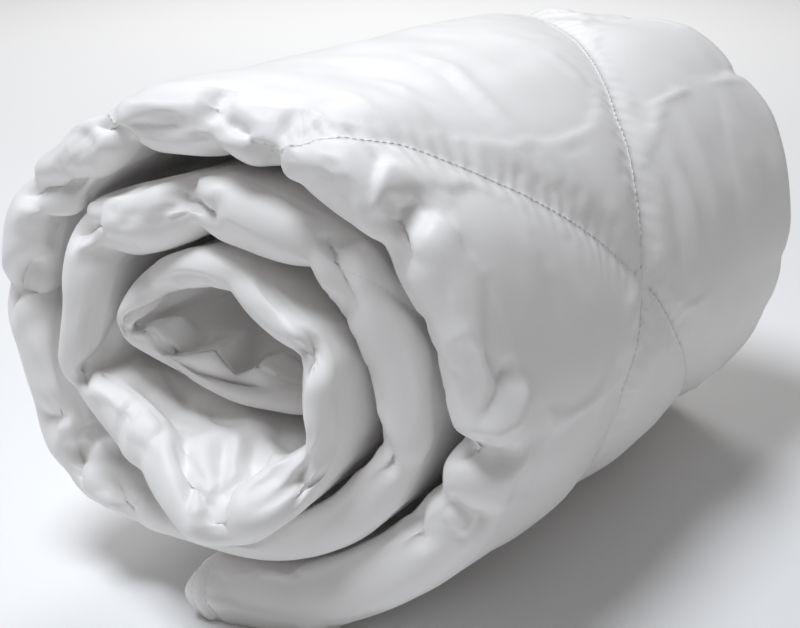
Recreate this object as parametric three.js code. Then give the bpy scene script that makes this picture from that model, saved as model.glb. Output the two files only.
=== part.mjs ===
// Rolled duvet: one filled, quilted strip wound about three turns around a crumpled core.
// The roll lies on its side with its axis along Y. Its near end, the one with the loose
// end of the strip tucked under it, faces -Y. All sizes are in millimetres, +Z is up.
import * as THREE from 'three';

// Overall
const ROLL_LENGTH = 492;        // front of the near edge to back of the far edge, before setbacks
const FLOOR_REACH = 2.2;        // cloth lower than this is pressed flat on the surface it rests on
const TIP_TAPER = 16;           // length over which the loose end rounds off
const CORE_TAPER = 16;          // the same at the inner end of the strip
const END_THICKNESS = 0.45;     // share of the thickness left at either end of the strip
const CORNER_ROUND = 12;        // how far the corners of the strip's two ends are drawn in

// The strip's edges
const EDGE_ROUND = 1.15;        // how far the rounded edge reaches in, in half thicknesses
const END_ZONE = 120;           // length over which the shape of an end fades into the middle
const NEAR_SOFTEN = 5;          // spread that rounds the folds at the near edge
const MIDDLE_SOFTEN = 24;
const FAR_SOFTEN = 13;
const FAR_SWELL = 0.3;          // share of the swell that is left at the far edge
const NORMAL_SOFTEN = 10;       // spread over which the direction out of the roll is read
const LONGEST_BEND = 0.48;      // a bend takes up no more than this share of a straight run
const FAR_DROP = 10;            // the far end is squashed this much at the top of the roll
const ROLL_HEIGHT = 322;

// Spacing of the sections along the strip and of the points across it
const LINE_STEP = 2;
const OUTER_TURN_STEP = 19;
const INNER_TURN_STEP = 27;
const OUTER_TURN_ENDS = 905;    // length along the strip where the next turn covers it
const TURN_SPLITS = { outerFace: 20, innerFace: 7 };
const COVERED_SPLITS = { outerFace: 7, innerFace: 7 };
const ROUND_SPLITS = 3;

// Folds of the strip from the loose end to the core, at the near edge. x and z are the
// middle of the layer, half is half its thickness, the setbacks are how far its two edges
// stand in from the ends, bend is the length of the turn to either side and swell is how
// much the layer stands further out at the middle of the roll.
const FOLDS = table(['name', 'x', 'z', 'half', 'nearSetback', 'farSetback', 'bend', 'swell'], [
  ['loose end', -30, 18.5, 18.5, -10, 0, 0, 0],
  ['underside', 50, 19.5, 19.5, 14, 8, 34, 0],
  ['lower right', 113, 65, 20.5, 42, 32, 34, 12],
  ['right', 149, 150, 20.5, 42, 24, 45, 9],
  ['upper right', 124, 241, 21.5, 28, -6, 45, 3],
  ['top right', 63, 297, 21, 12, -4, 40, -2],
  ['top left', -62, 305, 18.5, -2, 6, 26, -2],
  ['left shoulder', -148, 238, 18.5, -4, 0, 20, 2],
  ['left', -165, 180, 19, -4, 4, 14, 3],
  ['lower left', -131, 72, 18.5, -5, 0, 16, 0],
  ['over the loose end', -75, 58, 16, -6, 0, 20, 0],
  ['second underside', 26, 52.5, 11.5, 6, 0, 40, 0],
  ['second lower right', 78, 86, 15.5, 28, 8, 26, 5],
  ['second right', 102, 150, 17, 40, 10, 40, 4],
  ['second upper right', 78, 224, 21, 24, 6, 26, 2],
  ['second top', 0, 263, 19, 4, 0, 36, -2],
  ['second shoulder', -98, 231, 20, -6, -4, 18, 0],
  ['second left', -110, 138, 9, -14, 0, 12, 0],
  ['third lower left', -74, 124, 18, -14, -2, 20, 0],
  ['third underside', 32, 86.5, 19.5, -50, -8, 24, 0],
  ['third right', 63, 124, 12, 4, 4, 18, 2],
  ['third upper right', 61, 187, 11.5, 10, 8, 20, 2],
  ['third top', -12, 226, 11.5, 8, 6, 26, -1],
  ['third shoulder', -57, 208, 12, 8, 6, 16, 0],
  ['third left', -84, 172, 7, 2, 4, 12, 0],
  ['core underside', -20, 138, 11, 34, 14, 16, 0],
  ['core right', 33, 135, 9, 55, 30, 14, 0],
  ['core top', 24, 170, 9, 100, 45, 13, 0],
  ['core end', -22, 186, 10, 110, 60, 0, 0],
]);

// Creases where the filled edge is pinched by a bend. inner and outer are how deep the
// crease cuts into either face, setback is how far it draws the edge in, width is its
// spread along the strip and reach how far it runs in from the edge.
const CREASES = table(['fold', 'shift', 'inner', 'outer', 'setback', 'width', 'reach'], [
  ['lower right', 40, 9, 2, 5, 14, 60],
  ['right', -12, 12, 3, 7, 12, 70],
  ['upper right', 26, 5, 4, 5, 13, 55],
  ['top right', 24, 9, 4, 7, 13, 55],
  ['top left', -61, 8, 2, 6, 12, 55],
  ['top left', 8, 9, 1, 6, 12, 60],
  ['left shoulder', -10, 9, 4, 6, 12, 65],
  ['left', -3, 8, 4, 6, 12, 65],
  ['lower left', 0, 7, 4, 5, 13, 60],
  ['over the loose end', 4, 6, 1, 5, 13, 50],
  ['second right', -30, 7, 1, 5, 13, 50],
  ['second upper right', 27, 10, 3, 7, 13, 60],
  ['second top', 20, 8, 2, 6, 12, 50],
  ['second shoulder', -2, 8, 2, 6, 12, 60],
  ['second left', 4, 4, 2, 6, 12, 60],
  ['third underside', -71, 6, 1, 4, 13, 45],
  ['third underside', -2, 7, 3, 6, 13, 45],
  ['third right', 4, 7, 2, 5, 12, 45],
  ['third upper right', 2, 6, 2, 4, 12, 40],
  ['third top', -18, 4, 1, 4, 12, 40],
  ['third shoulder', 0, 4, 1, 4, 12, 40],
  ['third left', 0, 3, 1, 4, 12, 40],
]);
const FAR_CREASE_SHIFT = 15;    // the creases of the far end stand a little further round
const FAR_CREASE_SHARE = 0.85;
const CREASE_SHARPNESS = 1.3;   // 1 is a knife-sharp crease, 2 a round one

// Quilting: two families of sewn lines cross as large diamonds on the outer face. Each row
// is a line from one point to another, along the strip and in from the near end, with the
// bow of the line at its middle.
const QUILT_LINES = table(['fromAlong', 'fromIn', 'toAlong', 'toIn', 'bow'], [
  [433, 0, 49, 492, 0],
  [863, 0, 479, 492, 0],
  [150, 185, 492, 388, -24],
  [492, 388, 580, 492, 0],
  [545, 0, 905, 400, 0],
]);
const CHANNEL_DEPTH = 6;
const CHANNEL_HALF_WIDTH = 22;
const CHANNEL_SHARPNESS = 1.5;
const QUILT_CROWN = 2.5;        // the padding stands this much prouder between the lines
const QUILT_FADE = 60;          // length over which the quilting fades out under the next turn

const COVER_COLOUR = 0xf2f2f4;
const COVER_ROUGHNESS = 0.45;

/** Turns rows of values into objects with named columns. */
function table(columns, rows) {
  return rows.map((row) => Object.fromEntries(columns.map((column, i) => [column, row[i]])));
}

/** Eases from 0 to 1 as t goes from 0 to 1. */
function ease(t) {
  const k = THREE.MathUtils.clamp(t, 0, 1);
  return k * k * (3 - 2 * k);
}

/** Mixes every number of two samples of the middle line. */
function mixSamples(a, b, t) {
  return Object.fromEntries(Object.keys(a).map((key) => [key, a[key] + (b[key] - a[key]) * t]));
}

/** Corners of the middle line: each fold becomes a short curve between two straight runs. */
function roundedFolds() {
  const curveSplits = 10;
  const pick = ({ bend, name, ...sample }) => sample;
  const points = [pick(FOLDS[0])];
  for (let i = 1; i < FOLDS.length - 1; i += 1) {
    const here = pick(FOLDS[i]);
    const before = pick(FOLDS[i - 1]);
    const after = pick(FOLDS[i + 1]);
    const back = Math.hypot(before.x - here.x, before.z - here.z);
    const ahead = Math.hypot(after.x - here.x, after.z - here.z);
    const bend = Math.min(FOLDS[i].bend, LONGEST_BEND * back, LONGEST_BEND * ahead);
    const start = mixSamples(here, before, bend / back);
    const end = mixSamples(here, after, bend / ahead);
    for (let k = 0; k <= curveSplits; k += 1) {
      const t = k / curveSplits;
      points.push(mixSamples(mixSamples(start, here, t), mixSamples(here, end, t), t));
    }
  }
  points.push(pick(FOLDS.at(-1)));
  return points;
}

/** Middle line of the strip at even steps of LINE_STEP. */
function evenLine() {
  const points = roundedFolds();
  const line = [];
  let next = 0;
  let along = 0;
  for (let i = 0; i + 1 < points.length; i += 1) {
    const run = Math.hypot(points[i + 1].x - points[i].x, points[i + 1].z - points[i].z);
    while (next <= along + run) {
      line.push(mixSamples(points[i], points[i + 1], (next - along) / run));
      next += LINE_STEP;
    }
    along += run;
  }
  return line;
}

/** Spreads each value of a line over its neighbours, keeping its two ends in place. */
function soften(line, spread) {
  const reach = Math.ceil((3 * spread) / LINE_STEP);
  const last = line.length - 1;
  const keys = Object.keys(line[0]);
  const at = (key, i) => {
    if (i < 0) return 2 * line[0][key] - line[-i][key];
    if (i > last) return 2 * line[last][key] - line[2 * last - i][key];
    return line[i][key];
  };
  return line.map((sample, i) => {
    const sum = Object.fromEntries(keys.map((key) => [key, 0]));
    let total = 0;
    for (let k = -reach; k <= reach; k += 1) {
      const weight = Math.exp(-0.5 * ((k * LINE_STEP) / spread) ** 2);
      total += weight;
      keys.forEach((key) => { sum[key] += weight * at(key, i + k); });
    }
    return Object.fromEntries(keys.map((key) => [key, sum[key] / total]));
  });
}

/** Adds to each sample the direction out of the roll and moves it out by its swell. */
function faceOut(line, swellShare) {
  const smooth = soften(line, NORMAL_SOFTEN);
  const last = line.length - 1;
  return line.map((sample, i) => {
    const a = smooth[Math.max(i - 1, 0)];
    const b = smooth[Math.min(i + 1, last)];
    const run = Math.hypot(b.x - a.x, b.z - a.z);
    const outX = (b.z - a.z) / run;
    const outZ = -(b.x - a.x) / run;
    const move = sample.swell * swellShare;
    return { ...sample, x: sample.x + outX * move, z: sample.z + outZ * move, outX, outZ };
  });
}

/** The strip's middle line at the near edge, the middle and the far edge of the roll. */
function stripLines() {
  const base = evenLine();
  const near = faceOut(soften(base, NEAR_SOFTEN), 0);
  const middle = faceOut(soften(base, MIDDLE_SOFTEN), 1);
  const far = faceOut(soften(base, FAR_SOFTEN), FAR_SWELL).map((sample) => ({
    ...sample,
    z: sample.z - FAR_DROP * ease(sample.z / ROLL_HEIGHT),
  }));
  return { near, middle, far };
}

const LINES = stripLines();
const STRIP_LENGTH = (LINES.near.length - 1) * LINE_STEP;

/** Length along the strip at which each fold stands. */
function foldPlaces() {
  const places = {};
  const searchAhead = 130;
  let from = 0;
  for (const fold of FOLDS) {
    let best = from;
    let nearest = Infinity;
    for (let i = from; i < Math.min(from + searchAhead, LINES.near.length); i += 1) {
      const away = Math.hypot(LINES.near[i].x - fold.x, LINES.near[i].z - fold.z);
      if (away < nearest) {
        nearest = away;
        best = i;
      }
    }
    places[fold.name] = best * LINE_STEP;
    from = best;
  }
  return places;
}

const PLACES = foldPlaces();
const NEAR_CREASES = CREASES.map((crease) => ({ ...crease, along: PLACES[crease.fold] + crease.shift }));
const FAR_CREASES = NEAR_CREASES.map((crease) => ({ ...crease, along: crease.along + FAR_CREASE_SHIFT }));

/** Value of a line at any length along the strip. */
function sampleLine(line, along) {
  const place = THREE.MathUtils.clamp(along / LINE_STEP, 0, line.length - 1);
  const i = Math.min(Math.floor(place), line.length - 2);
  return mixSamples(line[i], line[i + 1], place - i);
}

/** How much a row of creases draws in one quantity at a length along the strip. */
function drawnIn(creases, key, along, fromEdge) {
  let sum = 0;
  for (const crease of creases) {
    const away = Math.abs(along - crease.along) / crease.width;
    sum += crease[key] * Math.exp(-(away ** CREASE_SHARPNESS)) * Math.exp(-fromEdge / crease.reach);
  }
  return sum;
}

/** Distance from a point of the outer face to the nearest sewn line. */
function awayFromQuilting(along, inward) {
  const splits = 8;
  let nearest = Infinity;
  for (const line of QUILT_LINES) {
    const run = Math.hypot(line.toAlong - line.fromAlong, line.toIn - line.fromIn);
    const sideAlong = (line.toIn - line.fromIn) / run;
    const sideIn = -(line.toAlong - line.fromAlong) / run;
    let previous = null;
    for (let k = 0; k <= splits; k += 1) {
      const t = k / splits;
      const bow = line.bow * Math.sin(Math.PI * t);
      const here = new THREE.Vector2(
        THREE.MathUtils.lerp(line.fromAlong, line.toAlong, t) + sideAlong * bow,
        THREE.MathUtils.lerp(line.fromIn, line.toIn, t) + sideIn * bow,
      );
      if (previous) {
        const leg = here.clone().sub(previous);
        const off = new THREE.Vector2(along, inward).sub(previous);
        const share = THREE.MathUtils.clamp(off.dot(leg) / leg.lengthSq(), 0, 1);
        nearest = Math.min(nearest, off.addScaledVector(leg, -share).length());
      }
      previous = here;
    }
  }
  return nearest;
}

/** Height of the quilted outer face over the plain face: channels along the lines, crowns between. */
function quilting(along, inward) {
  const fade = 1 - ease((along - (OUTER_TURN_ENDS - QUILT_FADE)) / QUILT_FADE);
  const away = awayFromQuilting(along, inward) / CHANNEL_HALF_WIDTH;
  return fade * (QUILT_CROWN - (CHANNEL_DEPTH + QUILT_CROWN) * Math.exp(-(away ** CHANNEL_SHARPNESS)));
}

/** Share of the full thickness near the two ends of the strip. */
function taper(along) {
  const round = (t) => Math.sqrt(1 - (1 - THREE.MathUtils.clamp(t, 0, 1)) ** 2);
  const share = Math.min(round(along / TIP_TAPER), round((STRIP_LENGTH - along) / CORE_TAPER));
  return Math.max(share, END_THICKNESS);
}

/** Points across the strip, from the front of the near edge over the outer face and back. */
function profile(splits) {
  const points = [];
  const arc = (k) => (k / ROUND_SPLITS) * (Math.PI / 2);
  const side = (sign, faceSplits) => {
    const run = [];
    for (let k = 0; k < ROUND_SPLITS; k += 1) {
      run.push({ zone: 'near', u: 1 - Math.cos(arc(k)), across: sign * Math.sin(arc(k)) });
    }
    for (let k = 0; k <= faceSplits; k += 1) {
      run.push({ zone: 'face', u: k / faceSplits, across: sign });
    }
    for (let k = ROUND_SPLITS - 1; k >= 0; k -= 1) {
      run.push({ zone: 'far', u: 1 - Math.cos(arc(k)), across: sign * Math.sin(arc(k)) });
    }
    return run;
  };
  points.push(...side(1, splits.outerFace));
  points.push(...side(-1, splits.innerFace).reverse().slice(1, -1));
  return points;
}

/** One point of the duvet at a length along the strip and a point of its profile. */
function pointOf(along, { zone, u, across }) {
  const near = sampleLine(LINES.near, along);
  const middle = sampleLine(LINES.middle, along);
  const far = sampleLine(LINES.far, along);
  const nearDepth = near.half * EDGE_ROUND;
  const farDepth = far.half * EDGE_ROUND;
  const corner = CORNER_ROUND * (1 - taper(along));
  const front = near.nearSetback + corner + drawnIn(NEAR_CREASES, 'setback', along, 0);
  const back = ROLL_LENGTH - far.farSetback - corner
    - FAR_CREASE_SHARE * drawnIn(FAR_CREASES, 'setback', along, 0);
  let y = front + nearDepth * u;
  if (zone === 'face') {
    y = THREE.MathUtils.lerp(front + nearDepth, back - farDepth, u);
  } else if (zone === 'far') {
    y = back - farDepth * u;
  }
  const nearShare = 1 - ease((y - front) / END_ZONE);
  const farShare = 1 - ease((back - y) / END_ZONE);
  const middleShare = 1 - nearShare - farShare;
  const mix = (key) => nearShare * near[key] + middleShare * middle[key] + farShare * far[key];
  const out = new THREE.Vector2(mix('outX'), mix('outZ')).normalize();
  const key = across > 0 ? 'outer' : 'inner';
  let reach = mix('half')
    - drawnIn(NEAR_CREASES, key, along, y - front)
    - FAR_CREASE_SHARE * drawnIn(FAR_CREASES, key, along, back - y);
  if (across > 0) {
    reach += quilting(along, y);
  }
  const away = reach * across * taper(along);
  const z = mix('z') + out.y * away;
  return new THREE.Vector3(
    mix('x') + out.x * away,
    y - ROLL_LENGTH / 2,
    z < FLOOR_REACH ? 0 : z,
  );
}

/** Lengths along the strip that get a section: even steps, both tapers and every crease. */
function sectionPlaces() {
  const creaseSteps = [-15, -5, 5, 15];
  const endSteps = [0, 3, 9, TIP_TAPER];
  const marks = new Set(endSteps);
  endSteps.forEach((step) => marks.add(STRIP_LENGTH - step * (CORE_TAPER / TIP_TAPER)));
  NEAR_CREASES.forEach((crease) => {
    marks.add(crease.along);
    creaseSteps.forEach((step) => marks.add(crease.along + step));
  });
  const sorted = [...marks].filter((m) => m >= 0 && m <= STRIP_LENGTH).sort((a, b) => a - b);
  const places = [];
  sorted.forEach((mark, i) => {
    places.push(mark);
    const gap = (sorted[i + 1] ?? mark) - mark;
    const step = mark < OUTER_TURN_ENDS ? OUTER_TURN_STEP : INNER_TURN_STEP;
    const splits = Math.round(gap / step);
    for (let k = 1; k < splits; k += 1) {
      places.push(mark + (gap * k) / splits);
    }
  });
  const leastGap = 3.5;
  return places.filter((place, i) => i === 0 || i === places.length - 1
    || place - places[i - 1] >= leastGap);
}

/** Closed solid through all sections, with a flat cap of triangles at both ends. */
function duvetGeometry() {
  const places = sectionPlaces();
  const positions = [];
  const indices = [];
  const rings = places.map((along) => {
    const points = profile(along < OUTER_TURN_ENDS ? TURN_SPLITS : COVERED_SPLITS);
    const first = positions.length / 3;
    points.forEach((point) => positions.push(...pointOf(along, point).toArray()));
    return { first, count: points.length, at: points.map(ringPlace) };
  });
  for (let i = 0; i + 1 < rings.length; i += 1) {
    bridge(rings[i], rings[i + 1], indices);
  }
  capRing(rings[0], profile(TURN_SPLITS), indices, true);
  capRing(rings.at(-1), profile(COVERED_SPLITS), indices, false);
  const geometry = new THREE.BufferGeometry();
  geometry.setAttribute('position', new THREE.Float32BufferAttribute(positions, 3));
  geometry.setIndex(indices);
  geometry.computeBoundingBox();
  const { min, max } = geometry.boundingBox;
  geometry.translate(-(min.x + max.x) / 2, -(min.y + max.y) / 2, 0);
  geometry.computeVertexNormals();
  return geometry;
}

/** Place of a profile point round its ring, from 0 to 4: near, outer face, far, inner face. */
function ringPlace({ zone, u, across }) {
  const angle = Math.asin(Math.min(1, Math.abs(across))) / (Math.PI / 2);
  const outer = across >= 0;
  if (zone === 'near') return outer ? 0.5 * angle : 4 - 0.5 * angle;
  if (zone === 'far') return outer ? 2 - 0.5 * angle : 2 + 0.5 * angle;
  return outer ? 0.5 + u : 3.5 - u;
}

/** Joins two rings of points with triangles, stepping on whichever ring lags behind. */
function bridge(a, b, indices) {
  let i = 0;
  let j = 0;
  const placeOf = (ring, k) => (k >= ring.count ? 4 + ring.at[k - ring.count] : ring.at[k]);
  while (i < a.count || j < b.count) {
    const ai = a.first + (i % a.count);
    const bj = b.first + (j % b.count);
    const stepA = j >= b.count || (i < a.count && placeOf(a, i + 1) <= placeOf(b, j + 1));
    if (stepA) {
      indices.push(ai, a.first + ((i + 1) % a.count), bj);
      i += 1;
    } else {
      indices.push(ai, b.first + ((j + 1) % b.count), bj);
      j += 1;
    }
  }
}

/** Closes a ring with triangles between its outer and its inner run of points. */
function capRing(ring, points, indices, atStart) {
  const last = ring.count;
  let outer = 0;
  let inner = last;
  const half = points.findIndex((point) => point.zone === 'far' && point.across === 0);
  const alongRoll = (k) => {
    const place = ringPlace(points[k % last]);
    return Math.min(place, 4 - place);
  };
  const add = (a, b, c) => {
    const three = [a, b, c].map((k) => ring.first + (k % last));
    indices.push(...(atStart ? three : three.reverse()));
  };
  while (outer < half || inner > half) {
    const stepOuter = inner <= half || (outer < half && alongRoll(outer + 1) <= alongRoll(inner - 1));
    if (stepOuter) {
      if (new Set([outer % last, (outer + 1) % last, inner % last]).size === 3) {
        add(outer, inner, outer + 1);
      }
      outer += 1;
    } else {
      if (new Set([outer % last, inner % last, (inner - 1) % last]).size === 3) {
        add(outer, inner, inner - 1);
      }
      inner -= 1;
    }
  }
}

const cover = new THREE.MeshStandardMaterial({
  color: COVER_COLOUR,
  roughness: COVER_ROUGHNESS,
  metalness: 0,
});
cover.name = 'cover';

const duvet = new THREE.Mesh(duvetGeometry(), cover);
duvet.name = 'duvet';

const roll = new THREE.Group();
roll.name = 'rolled_duvet';
roll.add(duvet);

export default roll;
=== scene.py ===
"""Rolled duvet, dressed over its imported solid.

One long filled strip is wound about three turns round a crumpled core. The cover is a white
sateen, sewn through in large diamonds. Sizes in the tables and classes are millimetres, as they
would be taken off the roll itself; a mesh is turned to metres when it is made.
"""

import logging
import math
from dataclasses import dataclass, field
from enum import Enum, IntEnum

import bpy
import numpy as np
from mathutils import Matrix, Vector


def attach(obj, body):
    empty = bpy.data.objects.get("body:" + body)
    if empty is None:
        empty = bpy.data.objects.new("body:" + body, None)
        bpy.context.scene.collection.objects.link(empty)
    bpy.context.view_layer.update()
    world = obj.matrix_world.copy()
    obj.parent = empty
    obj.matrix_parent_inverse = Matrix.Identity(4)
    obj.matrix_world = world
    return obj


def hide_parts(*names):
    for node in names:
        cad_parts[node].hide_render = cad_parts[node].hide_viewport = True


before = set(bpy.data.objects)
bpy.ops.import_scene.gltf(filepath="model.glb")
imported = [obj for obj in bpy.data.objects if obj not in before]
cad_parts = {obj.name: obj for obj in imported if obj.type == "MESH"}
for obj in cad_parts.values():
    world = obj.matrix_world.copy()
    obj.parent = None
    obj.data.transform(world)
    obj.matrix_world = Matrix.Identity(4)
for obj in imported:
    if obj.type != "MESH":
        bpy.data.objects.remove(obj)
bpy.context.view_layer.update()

LOG = logging.getLogger("rolled_duvet")
MM = 0.001
TINY = 1e-9


class Zone(IntEnum):
    """Part of the strip's profile that a point lies on."""

    NEAR_EDGE = 0
    FACE = 1
    FAR_EDGE = 2


class Column(IntEnum):
    """Column of a line's table of samples."""

    X = 0
    Z = 1
    HALF = 2
    NEAR_SETBACK = 3
    FAR_SETBACK = 4
    SWELL = 5
    OUT_X = 6
    OUT_Z = 7


class Fade(Enum):
    """How a crease dies away along its own length."""

    BOTH_ENDS = "both ends"
    NOWHERE = "nowhere"


class Face(IntEnum):
    """Face of the strip, by the side of the middle line that it lies on."""

    OUTER = 1
    INNER = -1


@dataclass(frozen=True)
class Fold:
    """One fold of the strip, at the near edge of the roll.

    x and z are the middle of the layer and half is half its thickness. The setbacks are how far
    its two edges stand in from the ends, bend is the length of the turn to either side and swell
    is how much the layer stands further out at the middle of the roll.
    """

    name: str
    x: float
    z: float
    half: float
    near_setback: float
    far_setback: float
    bend: float
    swell: float


@dataclass(frozen=True)
class Pinch:
    """Place where a bend pinches the filled edge.

    inner and outer are how deep it cuts into either face, setback is how far it draws the edge
    in, width is its spread along the strip and reach how far it runs in from the edge.
    """

    fold: str
    shift: float
    inner: float
    outer: float
    setback: float
    width: float
    reach: float


@dataclass(frozen=True)
class Crease:
    """A trough or, with a negative depth, a ridge drawn on the cover.

    path holds pairs of a shift along the strip from the named fold and a distance over the edge,
    which is 0 at the front of the near edge, positive on the outer face and negative on the
    inner one. shoulder is the share of the depth that the cloth on both sides stands up.
    """

    fold: str
    path: tuple[tuple[float, float], ...]
    depth: float
    width: float
    sharpness: float = 1.1
    shoulder: float = 0.14
    fade: Fade = Fade.BOTH_ENDS


@dataclass(frozen=True)
class SewnLine:
    """A sewn line through points by length along the strip and distance in from the near end."""

    points: tuple[tuple[float, float], ...]


FOLDS = (
    Fold("loose end", -30, 18.5, 18.5, -10, 0, 0, 0),
    Fold("underside", 50, 19.5, 19.5, 14, 8, 34, 0),
    Fold("lower right", 113, 65, 20.5, 42, 32, 34, 12),
    Fold("right", 149, 150, 20.5, 42, 24, 45, 9),
    Fold("upper right", 124, 241, 21.5, 28, -6, 45, 3),
    Fold("top right", 63, 297, 21, 12, -4, 40, -2),
    Fold("top left", -62, 305, 18.5, -2, 6, 26, -2),
    Fold("left shoulder", -148, 238, 18.5, -4, 0, 20, 2),
    Fold("left", -165, 180, 19, -4, 4, 14, 3),
    Fold("lower left", -131, 72, 18.5, -5, 0, 16, 0),
    Fold("over the loose end", -75, 58, 16, -6, 0, 20, 0),
    Fold("second underside", 26, 52.5, 11.5, 6, 0, 40, 0),
    Fold("second lower right", 78, 86, 15.5, 28, 8, 26, 5),
    Fold("second right", 102, 150, 17, 40, 10, 40, 4),
    Fold("second upper right", 78, 224, 21, 24, 6, 26, 2),
    Fold("second top", 0, 263, 19, 4, 0, 36, -2),
    Fold("second shoulder", -98, 231, 20, -6, -4, 18, 0),
    Fold("second left", -110, 138, 9, -14, 0, 12, 0),
    Fold("third lower left", -74, 124, 18, -14, -2, 20, 0),
    Fold("third underside", 32, 86.5, 19.5, -50, -8, 24, 0),
    Fold("third right", 63, 124, 12, 4, 4, 18, 2),
    Fold("third upper right", 61, 187, 11.5, 10, 8, 20, 2),
    Fold("third top", -12, 226, 11.5, 8, 6, 26, -1),
    Fold("third shoulder", -57, 208, 12, 8, 6, 16, 0),
    Fold("third left", -84, 172, 7, 2, 4, 12, 0),
    Fold("core underside", -20, 138, 11, 34, 14, 16, 0),
    Fold("core right", 33, 135, 9, 55, 30, 14, 0),
    Fold("core top", 24, 170, 9, 100, 45, 13, 0),
    Fold("core end", -22, 186, 10, 110, 60, 0, 0),
)

PINCHES = (
    Pinch("lower right", 40, 9, 2, 5, 14, 60),
    Pinch("right", -12, 12, 3, 7, 12, 70),
    Pinch("upper right", 26, 5, 4, 5, 13, 55),
    Pinch("top right", 24, 9, 4, 7, 13, 55),
    Pinch("top left", -61, 8, 2, 6, 12, 55),
    Pinch("top left", 8, 9, 1, 6, 12, 60),
    Pinch("left shoulder", -10, 9, 4, 6, 12, 65),
    Pinch("left", -3, 8, 4, 6, 12, 65),
    Pinch("lower left", 0, 7, 4, 5, 13, 60),
    Pinch("over the loose end", 4, 6, 1, 5, 13, 50),
    Pinch("second right", -30, 7, 1, 5, 13, 50),
    Pinch("second upper right", 27, 10, 3, 7, 13, 60),
    Pinch("second top", 20, 8, 2, 6, 12, 50),
    Pinch("second shoulder", -2, 8, 2, 6, 12, 60),
    Pinch("second left", 4, 4, 2, 6, 12, 60),
    Pinch("third underside", -71, 6, 1, 4, 13, 45),
    Pinch("third underside", -2, 7, 3, 6, 13, 45),
    Pinch("third right", 4, 7, 2, 5, 12, 45),
    Pinch("third upper right", 2, 6, 2, 4, 12, 40),
    Pinch("third top", -18, 4, 1, 4, 12, 40),
    Pinch("third shoulder", 0, 4, 1, 4, 12, 40),
    Pinch("third left", 0, 3, 1, 4, 12, 40),
)

FRONT_SEAM = SewnLine(
    (
        (446, 13), (437, 15), (427, 19), (418, 30), (401, 65), (380, 94), (355, 124),
        (315, 178), (281, 217), (267, 235), (233, 270), (195, 314), (49, 492),
    )
)
BACK_SEAM = SewnLine(
    (
        (150, 200), (168, 196), (195, 191), (226, 191), (252, 202), (281, 217), (303, 228),
        (332, 243), (370, 272), (408, 309), (442, 344), (492, 390), (580, 492),
    )
)
LEFT_SEAM = SewnLine(((863, 0), (479, 492)))
TOP_SEAM = SewnLine(((545, 0), (905, 400)))
SEWN_LINES = (FRONT_SEAM, BACK_SEAM, LEFT_SEAM, TOP_SEAM)



def drawn(*rows: str | tuple) -> tuple[Crease, ...]:
    """Lists creases from rows that stand under the name of their fold.

    Args:
        rows: Names of folds and, after each, its creases: depth, width and the pairs of the path.

    Returns:
        The creases, in the order of the rows.
    """
    fold = ""
    creases = []
    for row in rows:
        if isinstance(row, str):
            fold = row
        else:
            creases.append(Crease(fold, row[2:], row[0], row[1]))
    return tuple(creases)


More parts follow.
